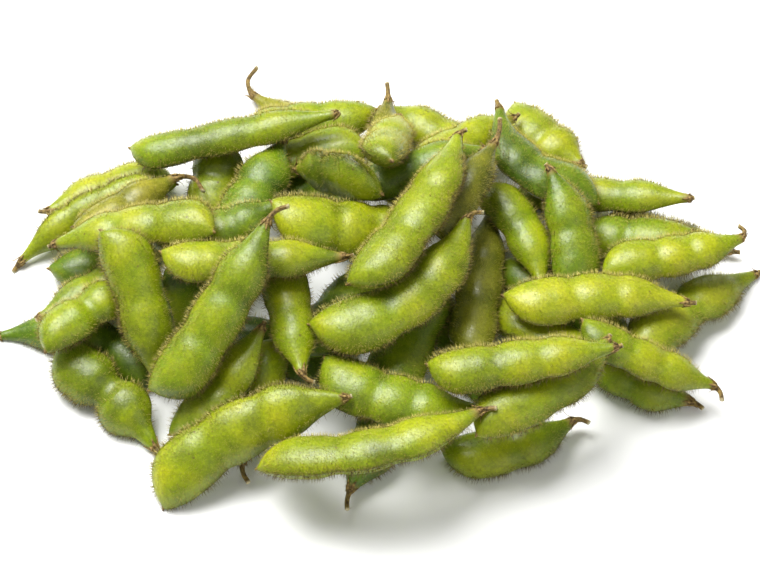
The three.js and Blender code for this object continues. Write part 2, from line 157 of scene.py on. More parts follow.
# ---- finishes ----
@dataclass(frozen=True)
class PodSkin:
    """Fresh soybean pod skin: a thin moist rind, waxy under its down, grown over the beans.

    The rind lets a little light in, so shaded sides stay green. It is yellower where a bean stretches it and
    deeper green in the waists. The suture lines, the calyx end, the point and small scars are brown.
    """

    name: str
    body: str
    crest: str
    hollow: str
    seam: str = "#47461a"
    blush: str = "#86772e"
    dry: str = "#957c40"
    dry_dark: str = "#473419"
    cut: str = "#d8cda2"
    scar: str = "#5c4c22"
    wash: Pattern = Pattern(30.0, 1.0)
    cloud: Pattern = Pattern(8.0, 4.0, 0.55)
    stretch: Pattern = Pattern(24.0, 1.0)        # greener and yellower lengths of a pod
    mottle: Pattern = Pattern(1.0, 3.0, band=(0.3, 0.7), strength=(0.86, 1.1))
    faded: Pattern = Pattern(4.0, band=(0.35, 0.65), strength=(0.25, 0.95))      # parts of the suture line
    scarred: Pattern = Pattern(18.0, band=(0.48, 0.58), strength=(0.0, 0.75))    # patches that have scars
    fibre: Pattern = Pattern(1.0, 4.0)           # of the dry ends
    satin: Pattern = Pattern(1.6, 3.0, band=(0.3, 0.7), strength=(0.27, 0.46))   # the rind's roughness
    pucker: Pattern = Pattern(2.2, 5.0, 0.6)
    pucker_depth: float = 0.24 * MM
    pore_size: float = 0.75          # in mm
    pore_depth: float = 0.07 * MM
    pore_light: tuple[float, float] = (1.16, 0.96)   # at a pore, and between pores
    scar_spacing: float = 5.0        # in mm
    crest_share: float = 0.2         # how far the middle of a bean goes towards the crest's colour
    stretch_share: float = 2.4       # how much a length of a pod counts for its hue, where its tone counts 1
    hues: tuple[float, float] = (0.493, 0.52)        # yellowest and greenest, where 0.5 changes nothing
    values: tuple[float, float] = (1.08, 0.85)       # of the lightest pod and of the darkest
    dry_roughness: float = 0.4       # how much rougher the dry ends are

    def build(self) -> bpy.types.Material:
        """Builds the skin's material.

        Returns:
            The new material.
        """
        material, tree = new_material(self.name)
        place = add_node(tree, "TexCoord").outputs["Object"]
        marks = {name: add_node(tree, "Attribute", attribute_name=name).outputs["Fac"]
                 for name in ("bulge", "seam", "dry", "cut", "tone")}
        pores = add_node(tree, "TexVoronoi", {"Scale": per_mm(self.pore_size), "Vector": place})
        colour = self._green(tree, place, marks, pores.outputs["Distance"])
        colour = self._marked(tree, place, marks, colour)
        rough = add_node(tree, "Math", {
            0: marks["dry"], 1: self.dry_roughness, 2: self.satin.build(tree, place)},
            operation="MULTIPLY_ADD", use_clamp=True)
        shader = add_node(tree, "BsdfPrincipled", {
            "Base Color": colour, "Roughness": rough.outputs[0], "IOR": 1.45, "Specular IOR Level": 0.55,
            "Specular Tint": linear("#fffffa"),
            "Subsurface Weight": 0.12, "Subsurface Radius": (0.8, 1.0, 0.15), "Subsurface Scale": 1.2 * MM,
            "Normal": self._relief(tree, place, pores.outputs["Distance"])})
        add_node(tree, "OutputMaterial", {"Surface": shader.outputs[0]})
        return material

    def _green(self, tree: Tree, place: Socket, marks: dict[str, Socket], pores: Socket) -> Socket:
        """Mixes the living greens: hollow, body and crest, with fine pale pores and each pod's own tone.

        Args:
            tree: the skin's node tree.
            place: the point on the pod.
            marks: the marks on the skin's points.
            pores: the distance from the nearest pore.

        Returns:
            The socket of the green.
        """
        level = add_node(tree, "Math", {
            0: self.wash.build(tree, place), 1: self.cloud.build(tree, place)}, operation="ADD")
        level = add_node(tree, "Math", {
            0: marks["bulge"], 1: self.crest_share, 2: level.outputs[0]}, operation="MULTIPLY_ADD")
        share = add_node(tree, "MapRange", {"Value": level.outputs[0], "From Min": 0.8, "From Max": 1.36})
        ramp = add_node(tree, "ValToRGB", {"Fac": share.outputs[0]})
        stops = ramp.color_ramp.elements
        stops[0].color = linear(self.hollow)
        stops[1].color = linear(self.crest)
        stops.new(0.5).color = linear(self.body)
        dotted = add_node(tree, "MapRange", {
            "Value": pores, "From Min": 0.15, "From Max": 0.5,
            "To Min": self.pore_light[0], "To Max": self.pore_light[1]})
        fine = add_node(tree, "Math", {
            0: self.mottle.build(tree, place), 1: dotted.outputs[0]}, operation="MULTIPLY")
        colour = add_node(tree, "Mix", {0: 1.0, 6: ramp.outputs["Color"], 7: fine.outputs[0]},
                          data_type="RGBA", blend_type="MULTIPLY")
        lean = add_node(tree, "Math", {
            0: self.stretch.build(tree, place), 1: self.stretch_share, 2: marks["tone"]},
            operation="MULTIPLY_ADD")
        hue = add_node(tree, "MapRange", {
            "Value": lean.outputs[0], "From Min": 0.9, "From Max": 2.5,
            "To Min": self.hues[0], "To Max": self.hues[1]})
        value = add_node(tree, "MapRange", {
            "Value": marks["tone"], "To Min": self.values[0], "To Max": self.values[1]})
        turned = add_node(tree, "HueSaturation", {
            "Hue": hue.outputs[0], "Value": value.outputs[0], "Color": colour.outputs[2]})
        return turned.outputs["Color"]

    def _marked(self, tree: Tree, place: Socket, marks: dict[str, Socket], colour: Socket) -> Socket:
        """Lays the suture line, small scars and the dry brown ends over the greens.

        Args:
            tree: the skin's node tree.
            place: the point on the pod.
            marks: the marks on the skin's points.
            colour: the green under them.

        Returns:
            The socket of the whole colour.
        """
        line = add_node(tree, "Math", {
            0: marks["seam"], 1: self.faded.build(tree, place)}, operation="MULTIPLY")
        dots = add_node(tree, "TexVoronoi", {"Scale": per_mm(self.scar_spacing), "Vector": place})
        dot = add_node(tree, "MapRange", {
            "Value": dots.outputs["Distance"], "From Min": 0.05, "From Max": 0.1,
            "To Min": 1.0, "To Max": 0.0})
        scar = add_node(tree, "Math", {
            0: dot.outputs[0], 1: self.scarred.build(tree, place)}, operation="MULTIPLY")
        grain = self.fibre.build(tree, place)
        fibre = add_node(tree, "MapRange", {"Value": grain, "From Min": 0.35, "From Max": 0.65})
        bark = add_node(tree, "Mix", {
            0: fibre.outputs[0], 6: linear(self.dry_dark), 7: linear(self.dry)}, data_type="RGBA")
        edge = add_node(tree, "Math", {0: grain, 1: 0.5, 2: marks["dry"]}, operation="MULTIPLY_ADD")
        turning = add_node(tree, "MapRange", {
            "Value": edge.outputs[0], "From Min": 0.3, "From Max": 0.75, "To Max": 0.8})
        withered = add_node(tree, "MapRange", {"Value": edge.outputs[0], "From Min": 0.7, "From Max": 0.95})
        for share, over in ((line.outputs[0], linear(self.seam)), (scar.outputs[0], linear(self.scar)),
                            (turning.outputs[0], linear(self.blush)),
                            (withered.outputs[0], bark.outputs[2]), (marks["cut"], linear(self.cut))):
            colour = add_node(tree, "Mix", {0: share, 6: colour, 7: over},
                              data_type="RGBA").outputs[2]
        return colour

    def _relief(self, tree: Tree, place: Socket, pores: Socket) -> Socket:
        """Adds the fine puckers of the rind and the pores that its hairs stand in.

        Args:
            tree: the skin's node tree.
            place: the point on the pod.
            pores: the distance from the nearest pore.

        Returns:
            The socket of the normal.
        """
        coarse = add_node(tree, "Bump", {
            "Strength": 0.32, "Distance": self.pucker_depth, "Height": self.pucker.build(tree, place)})
        fine = add_node(tree, "Bump", {
            "Strength": 0.5, "Distance": self.pore_depth, "Height": pores,
            "Normal": coarse.outputs["Normal"]})
        return fine.outputs["Normal"]


@dataclass(frozen=True)
class PodDown:
    """The down of a soybean pod: short stiff hairs, pale gold, rusty along the sutures, and darkened by
    painted shade where they point down.

    Real hairs are half as thick. These are drawn as coarse as they need to be to show.
    """

    name: str = "pod_down"
    pale: str = "#cfc35e"
    # rust of the sutures and dry ends, and also the painted shade of hairs that point down
    rusty_and_shaded: str = "#5f4627"

    def build(self) -> bpy.types.Material:
        """Builds the hairs' material.

        Returns:
            The new material.
        """
        material, tree = new_material(self.name)
        # this mark holds real rust and also painted shade on hairs that point down
        rust = add_node(tree, "Attribute", attribute_name="rust").outputs["Fac"]
        colour = add_node(tree, "Mix", {0: rust, 6: linear(self.pale), 7: linear(self.rusty_and_shaded)},
                          data_type="RGBA").outputs[2]
        shader = add_node(tree, "BsdfPrincipled", {"Base Color": colour, "Roughness": 0.4, "IOR": 1.5})
        add_node(tree, "OutputMaterial", {"Surface": shader.outputs[0]})
        return material


@dataclass(frozen=True)
class DryCalyx:
    """Withered calyx teeth: papery, brown and fibrous, which gives them a dull broken surface."""

    name: str = "dry_calyx"
    light: str = "#ab9052"
    dark: str = "#4d3519"
    fibre: Pattern = Pattern(0.8, 4.0)
    fibre_depth: float = 0.1 * MM

    def build(self) -> bpy.types.Material:
        """Builds the calyx material.

        Returns:
            The new material.
        """
        material, tree = new_material(self.name)
        place = add_node(tree, "TexCoord").outputs["Object"]
        fibre = self.fibre.build(tree, place)
        streak = add_node(tree, "MapRange", {"Value": fibre, "From Min": 0.35, "From Max": 0.65})
        colour = add_node(tree, "Mix", {
            0: streak.outputs[0], 6: linear(self.dark), 7: linear(self.light)}, data_type="RGBA").outputs[2]
        bump = add_node(tree, "Bump", {"Strength": 0.5, "Distance": self.fibre_depth, "Height": fibre})
        shader = add_node(tree, "BsdfPrincipled", {
            "Base Color": colour, "Roughness": 0.8, "IOR": 1.45, "Normal": bump.outputs["Normal"]})
        add_node(tree, "OutputMaterial", {"Surface": shader.outputs[0]})
        return material


@dataclass(frozen=True)
class PaperSweep:
    """White seamless paper, uncoated, so it is matt and has no gloss of its own."""

    name: str = "white_paper"
    white: str = "#fbfbfa"

    def build(self) -> bpy.types.Material:
        """Builds the floor's material.

        Returns:
            The new material.
        """
        material, tree = new_material(self.name)
        shader = add_node(tree, "BsdfPrincipled", {
            "Base Color": linear(self.white), "Roughness": 0.9, "Specular IOR Level": 0.1})
        add_node(tree, "OutputMaterial", {"Surface": shader.outputs[0]})
        return material


class Shade(Enum):
    """The four greens that the pods come in, with their slots' names."""

    FRESH = "fresh_green_skin"
    PALE = "pale_green_skin"
    DEEP = "deep_green_skin"
    OLIVE = "olive_green_skin"


SKINS = {
    Shade.FRESH: PodSkin(Shade.FRESH.value, body="#849209", crest="#9ea30d", hollow="#616f09"),
    Shade.PALE: PodSkin(Shade.PALE.value, body="#8d980e", crest="#a8aa1f", hollow="#707e0c"),
    Shade.DEEP: PodSkin(Shade.DEEP.value, body="#677d0b", crest="#869210", hollow="#455b09"),
    Shade.OLIVE: PodSkin(Shade.OLIVE.value, body="#767614", crest="#928d28", hollow="#535811"),
}


# ---- a pod's form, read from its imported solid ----
def curve_through(knots: Array, values: Array, wanted: Array, known: dict[int, Array]) -> Array:
    """Draws a smooth curve through values at knots, and reads it at the wanted places.

    Args:
        knots: rising places, one per value.
        values: one row per knot.
        wanted: where the curve is read.
        known: knot number to the curve's slope there, where that is known.

    Returns:
        One row for each wanted place.
    """
    slopes = np.gradient(values, knots, axis=0)
    for knot, slope in known.items():
        slopes[knot] = slope
    cell = np.clip(np.searchsorted(knots, wanted, side="right") - 1, 0, len(knots) - 2)
    width = knots[cell + 1] - knots[cell]
    t = ((wanted - knots[cell]) / width)[:, None]
    width = width[:, None]
    rest = values[cell] * (2 * t ** 3 - 3 * t ** 2 + 1) + values[cell + 1] * (3 * t ** 2 - 2 * t ** 3)
    bend = slopes[cell] * (t ** 3 - 2 * t ** 2 + t) + slopes[cell + 1] * (t ** 3 - t ** 2)
    return rest + bend * width


@dataclass
class PodForm:
    """One pod's form: for each ring its centre, its arm to the suture and its arm to the face."""

    name: str
    centres: Array
    suture_arms: Array
    face_arms: Array
    tip: Array

    @classmethod
    def read(cls, name: str, solid: bpy.types.Object) -> "PodForm":
        """Reads the rings of a packed pod.

        Args:
            name: the pod's node name.
            solid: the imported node's object.

        Returns:
            The pod's form, with its rings in order from the stalk to the tip.
        """
        points, near = cls._joined(solid.data)
        walks = [cls._layers(pole, near) for pole in near if len(near[pole]) == RING_SIDES]
        walks = [walk for walk in walks if all(len(layer) == RING_SIDES for layer in walk[1:-1])]
        spans = [np.ptp(points[list(walk[1])], axis=0).max() for walk in walks]
        layers = walks[int(np.argmin(spans))]   # the walk that starts at the stalk, the narrower end
        rings = [cls._in_order(layer, near) for layer in layers[1:-1]]
        placed = cls._aligned([points[ring] for ring in rings])
        turn = 2 * math.pi * np.arange(RING_SIDES) / RING_SIDES
        centres = placed.mean(axis=1)
        suture = np.einsum("rsc,s->rc", placed, np.cos(turn)) * 2 / RING_SIDES
        face = np.einsum("rsc,s->rc", placed, np.sin(turn)) * 2 / RING_SIDES
        return cls(name, centres, suture, face, points[min(layers[-1])])

    @staticmethod
    def _joined(mesh: bpy.types.Mesh) -> tuple[Array, dict[int, set[int]]]:
        """Joins a mesh's vertices by position.

        Args:
            mesh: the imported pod's mesh.

        Returns:
            The points, and each one's neighbours.
        """
        found: dict[tuple[int, int, int], int] = {}
        points: list[tuple[float, float, float]] = []
        own: list[int] = []
        for vertex in mesh.vertices:
            key = tuple(round(c * 1e6) for c in vertex.co)
            if key not in found:
                found[key] = len(points)
                points.append(tuple(vertex.co))
            own.append(found[key])
        near: dict[int, set[int]] = defaultdict(set)
        for edge in mesh.edges:
            first, second = (own[index] for index in edge.vertices)
            if first != second:
                near[first].add(second)
                near[second].add(first)
        return np.array(points), dict(sorted(near.items()))

    @staticmethod
    def _layers(pole: int, near: dict[int, set[int]]) -> list[set[int]]:
        """Sorts the points into layers, by how many edges away from a pole they are.

        Args:
            pole: the point to start from.
            near: each point's neighbours.

        Returns:
            The layers, from the pole on.
        """
        layers = [{pole}]
        seen = {pole}
        while layers[-1]:
            layer = {other for point in layers[-1] for other in near[point]} - seen
            seen |= layer
            layers.append(layer)
        return layers[:-1]

    @staticmethod
    def _in_order(layer: set[int], near: dict[int, set[int]]) -> list[int]:
        """Walks once round a ring.

        Args:
            layer: the ring's points.
            near: each point's neighbours.

        Returns:
            The points, each one next to the one before.
        """
        ring = [min(layer)]
        while len(ring) < len(layer):
            onward = sorted((near[ring[-1]] & layer) - set(ring))
            ring.append(onward[0])
        return ring

    @staticmethod
    def _aligned(rings: list[Array]) -> Array:
        """Turns the rings so that they start at the same suture and run the same way round.

        Args:
            rings: each ring's points in order.

        Returns:
            The turned rings.
        """
        widest = int(np.argmax([np.linalg.norm(ring - ring.mean(axis=0), axis=1).max() for ring in rings]))
        across = [np.linalg.norm(rings[widest][k] - rings[widest][k + RING_SIDES // 2])
                  for k in range(RING_SIDES // 2)]
        rings = list(rings)
        rings[widest] = np.roll(rings[widest], -int(np.argmax(across)), axis=0)

        def shape(ring: Array) -> Array:
            """Moves a ring to the origin and brings it to a common size."""
            flat = ring - ring.mean(axis=0)
            return flat / np.linalg.norm(flat, axis=1).mean()

        def matched(ring: Array, model: Array) -> Array:
            """Turns one ring to follow its neighbour."""
            ways = [np.roll(way, turn, axis=0) for way in (ring, ring[::-1]) for turn in range(RING_SIDES)]
            return min(ways, key=lambda way: float(((shape(way) - shape(model)) ** 2).sum()))

        for index in range(widest + 1, len(rings)):
            rings[index] = matched(rings[index], rings[index - 1])
        for index in range(widest - 1, -1, -1):
            rings[index] = matched(rings[index], rings[index + 1])
        return np.array(rings)


# ---- meshes ----
def make_mesh(name: str, points: Array, faces: list | Array, marks: Marks) -> bpy.types.Object:
    """Makes a smooth mesh object with named marks on its points.

    Args:
        name: the object's name.
        points: one row per point, in metres.
        faces: point numbers of each face.
        marks: name to one number per point, which the finishes read.

    Returns:
        The new object, linked to the scene.
    """
    mesh = bpy.data.meshes.new(name)
    mesh.from_pydata(points.tolist(), [], faces if isinstance(faces, list) else faces.tolist())
    mesh.polygons.foreach_set("use_smooth", [True] * len(mesh.polygons))
    for mark, values in marks.items():
        layer = mesh.attributes.new(mark, "FLOAT", "POINT")
        layer.data.foreach_set("value", np.ascontiguousarray(values, dtype=np.float32))
    mesh.update()
    made = bpy.data.objects.new(name, mesh)
    bpy.context.scene.collection.objects.link(made)
    return made


def inside_out(points: Array, faces: list) -> bool:
    """Tells whether the faces of a closed surface point inwards.

    Args:
        points: the surface's points.
        faces: point numbers of each face.

    Returns:
        True where the volume that the faces enclose comes out negative.
    """
    volume = 0.0
    for face in faces:
        corner = points[face[0]]
        for second, third in zip(face[1:-1], face[2:]):
            volume += float(np.dot(corner, np.cross(points[second], points[third])))
    return volume < 0


@dataclass
class Stations:
    """A pod's smooth form, row by row from the end of its stalk to its point."""

    centre: Array
    suture: Array
    face: Array
    reach: Array    # how far along the pod each row lies
    calyx: float    # where the calyx sits, along the pod

    def on_skin(self, reach: float, turn: float, lift: float) -> Array:
        """Gives a point on the skin, or lifted off it.

        Args:
            reach: how far along the pod.
            turn: the angle round the pod, from one suture.
            lift: how far above the skin.

        Returns:
            The point.
        """
        centre, suture, face = (np.array([np.interp(reach, self.reach, rows[:, axis]) for axis in range(3)])
                                for rows in (self.centre, self.suture, self.face))
        out = math.cos(turn) * suture + math.sin(turn) * face
        return centre + out * (1 + lift / np.linalg.norm(out))


@dataclass
class Surface:
    """The fine skin of one pod: its points, its faces and the marks that its finish reads."""

    points: Array
    faces: list
    marks: Marks
    grid: tuple[int, int]    # how many quads along and around come first among the faces
    rim: Array               # how near each point is to a suture, from 0 to 1

    def quads(self) -> tuple[Array, Array, Array]:
        """Reads the quads of the grid.

        Returns:
            Each quad's point numbers, its corners, and its outward normal, twice its area long.
        """
        along, around = self.grid
        numbers = np.array(self.faces[:along * around])
        corners = self.points[numbers]
        return numbers, corners, np.cross(corners[:, 2] - corners[:, 0], corners[:, 3] - corners[:, 1])


def unit(rows: Array) -> Array:
    """Brings each row of vectors to length one."""
    return rows / np.maximum(np.linalg.norm(rows, axis=1), 1e-12)[:, None]


@dataclass
class Rind:
    """The skin of one pod: round at the stalk, and at the beans a lens with a raised line on each suture."""

    around: int = 28                # points round the pod
    stalk_rows: int = 14
    body_rows: int = 50
    beak_rows: int = 13
    beak_turn: float = math.radians(80)   # how far round the beak its last row lies
    nib: tuple[float, ...] = (0.62 * MM, 0.5 * MM, 0.34 * MM)   # radii along the dry point
    crowding: float = 0.3           # how much closer the points stand at the sutures
    round_until: float = 2 * MM     # a row is round up to this half width
    lens_over: float = 3 * MM       # and a full lens once it is wider by this
    pinch: float = 0.2              # how sharply the faces draw in to the sutures
    seam_height: float = 0.3 * MM
    seam_width: float = 0.4 * MM
    seam_line: float = 0.55 * MM    # half the width of the suture's coloured line
    bean_relief: float = 0.04       # how much further a bean stands out at the middle of a face
    bean_spread: float = 2.5        # how broad that swelling is, as a power
    bean_swell: float = 0.8 * MM    # how much thicker a row is at a bean than at a waist
    bean_rows: int = 17             # a row is judged against the mean of this many
    neck_rows: int = 4              # the first rows after the stalk, which hold no bean
    dent: float = 0.16 * MM
    dent_size: float = 5.0 * MM
    rib: float = 0.1                # how far the stalk's ribs stand out, as a share of its radius
    ribs: int = 5
    rib_start: float = 6.0          # the first rib stands within this turn, in radians
    browning: tuple[float, float] = (1.2, 4.5)   # how far past the calyx the neck is brown, in mm
    brownness: tuple[float, float] = (0.75, 1.0)
    point_brown: float = 1.5 * MM   # how far back from its end the point is brown
    point_brownness: float = 0.9
    rim_power: int = 3              # how quickly the rims of a pod give way to its faces
    cut_pale: float = 0.7           # how pale the rim of the stalk's cut end is

    def stations(self, form: PodForm) -> Stations:
        """Reads the smooth centre line and arms at every fine row.

        Args:
            form: the pod's form.

        Returns:
            The rows, from the end of the stalk to the dry point.
        """
        body = len(form.centres) - len(BEAK_RINGS)
        centres, sutures, faces = form.centres[:body], form.suture_arms[:body], form.face_arms[:body]
        knots = np.concatenate([[0.0], np.cumsum(np.linalg.norm(np.diff(centres, axis=0), axis=1))])
        places = np.concatenate([np.linspace(0, knots[NECK], self.stalk_rows, endpoint=False),
                                 np.linspace(knots[NECK], knots[-1], self.body_rows, endpoint=False)])
        axis = np.cross(sutures[-1], faces[-1])
        axis *= np.sign(axis @ (form.tip - centres[-1])) / np.linalg.norm(axis)
        beak_end = form.tip - axis * POINT
        turns = np.arcsin([0.0, *BEAK_RINGS, 1.0])
        onward = np.linspace(0, self.beak_turn, self.beak_rows)
        still = np.zeros(3)
        arms = []
        for along in (form.suture_arms, form.face_arms):
            widening = (along[NECK] - along[COLLAR]) / (knots[NECK] - knots[COLLAR])
            known = {0: still, 1: still, COLLAR: widening, body - 1: still}
            fitted = curve_through(knots, along[:body], places, known)
            beak = curve_through(turns, np.vstack([along[body - 1:], still]), onward, {0: still})
            last = beak[-1] / np.linalg.norm(beak[-1])
            arms.append(np.vstack([fitted, beak, last * np.array(self.nib)[:, None]]))
        beak = curve_through(turns, np.vstack([form.centres[body - 1:], beak_end]), onward,
                             {0: axis * ((beak_end - centres[-1]) @ axis)})
        nib = np.linspace(0, 1, len(self.nib) + 2)[1:-1, None]
        drawn = beak[-1] + (form.tip - beak[-1]) * nib
        centre = np.vstack([curve_through(knots, centres, places, {body - 1: axis}), beak, drawn])
        past = np.linalg.norm(np.diff(centre[len(places) - 1:], axis=0), axis=1)
        reach = np.concatenate([places, places[-1] + np.cumsum(past)])
        return Stations(centre, arms[0], arms[1], reach, float(knots[COLLAR]))

    def build(self, form: PodForm, row: Stations, tone: float, rng: np.random.Generator) -> Surface:
        """Works out the skin's points, its faces and the marks that its finish reads.

        Args:
            form: the pod's form.
            row: its smooth rows.
            tone: where the pod stands between yellower, 0, and greener, 1.
            rng: the pod's own draws.

        Returns:
            The fine skin.
        """
        turn = 2 * math.pi * np.arange(self.around) / self.around
        turn = turn - self.crowding * np.sin(2 * turn)
        wide = np.linalg.norm(row.suture, axis=1)
        thick = np.linalg.norm(row.face, axis=1)
        lens = np.clip((wide - self.round_until) / self.lens_over, 0, 1)[:, None]
        across = np.cos(turn)[None, :] * np.ones_like(lens)
        rise = np.sin(turn)[None, :] * (1 - lens + lens * np.abs(np.sin(turn))[None, :] ** self.pinch)
        beans = self._beans(row)[:, None]
        swelling = (2 * beans - 1) * (1 - np.abs(across) ** self.bean_spread)
        rise = rise * (1 + self.bean_relief * lens * swelling)
        apart = np.abs(rise) * thick[:, None]
        ridge = np.exp(-(apart / self.seam_width) ** 2) * lens
        across = across * (1 + self.seam_height * ridge / np.maximum(wide[:, None], MM))
        reach = row.reach[:, None] * np.ones_like(across)
        stalk = np.clip((row.calyx - reach) / MM, 0, 1)
        ribbed = 1 + self.rib * stalk * np.cos(self.ribs * turn + rng.uniform(0, self.rib_start))[None, :]
        points = (row.centre[:, None, :] + (across * ribbed)[:, :, None] * row.suture[:, None, :]
                  + (rise * ribbed)[:, :, None] * row.face[:, None, :])
        points = self._dented(points, row, lens)
        spread = rng.uniform(*self.browning) * MM
        withered = np.clip((row.calyx + spread - reach) / spread, 0, 1) * rng.uniform(*self.brownness)
        point = np.clip((reach - reach[-1] + self.point_brown) / MM, 0, 1)
        cut = np.zeros_like(across)
        cut[0] = self.cut_pale
        marks = {"bulge": beans * (1 - across ** 2).clip(0, 1) * lens,
                 "seam": np.exp(-(apart / self.seam_line) ** 2) * lens,
                 "dry": np.maximum(withered, self.point_brownness * point), "cut": cut,
                 "tone": np.full_like(across, tone),
                 "rim": np.abs(across).clip(0, 1) ** self.rim_power * lens}
        return self._closed(points, form.tip, marks)

    def _beans(self, row: Stations) -> Array:
        """Tells waists from beans.

        Args:
            row: the pod's smooth rows.

        Returns:
            For each row, how far it is from a waist, 0, towards the middle of a bean, 1.
        """
        thick = np.linalg.norm(row.face, axis=1)
        padded = np.pad(thick, self.bean_rows // 2, mode="edge")
        middling = np.convolve(padded, np.ones(self.bean_rows) / self.bean_rows, mode="valid")
        first, last = self.stalk_rows + self.neck_rows, self.stalk_rows + self.body_rows
        swell = np.zeros_like(thick)
        swell[first:last] = (thick - middling)[first:last]
        swell[last:] = swell[last - 1]
        return np.clip(0.5 + swell / self.bean_swell, 0, 1)

    def _dented(self, points: Array, row: Stations, lens: Array) -> Array:
        """Moves the points in and out a little, as the rind of a grown pod is never quite even.

        Args:
            points: the skin's points, row by row.
            row: the pod's smooth rows.
            lens: how far each row is from round, 0, towards a lens, 1.

        Returns:
            The moved points.
        """
        out = points - row.centre[:, None, :]
        length = np.linalg.norm(out, axis=2, keepdims=True)
        out = out / np.maximum(length, 1e-6)
        depth = np.array([[noise.noise(Vector(point) / self.dent_size) for point in ring]
                          for ring in points])
        moved = points + out * (depth * self.dent * lens)[:, :, None]
        moved[:, :, 2] = np.maximum(moved[:, :, 2], 0)
        return moved

    @staticmethod
    def _closed(points: Array, tip: Array, marks: Marks) -> Surface:
        """Joins the rows into one closed surface with a point at each end.

        Args:
            points: the skin's points, row by row.
            tip: the end of the dry point.
            marks: the marks on those points.

        Returns:
            The closed surface.
        """
        rings, around = points.shape[:2]
        here = (np.arange(rings - 1)[:, None] * around + np.arange(around)[None, :]).ravel()
        after = (np.arange(rings - 1)[:, None] * around + (np.arange(around)[None, :] + 1) % around).ravel()
        faces = np.stack([here, after, after + around, here + around], axis=1).tolist()
        stub = points[0].mean(axis=0)
        flat = np.vstack([points.reshape(-1, 3), stub, tip])
        first, last = len(flat) - 2, len(flat) - 1
        base = (rings - 1) * around
        for side in range(around):
            onward = (side + 1) % around
            faces.append([onward, side, first])
            faces.append([base + side, base + onward, last])
        whole = {name: np.concatenate([values.ravel(), values[0, :1], values[-1, :1]])
                 for name, values in marks.items()}
        whole["cut"][first] = 1.0
        if inside_out(flat, faces):
            faces = [face[::-1] for face in faces]
        return Surface(flat, faces, whole, (rings - 1, around), whole.pop("rim"))


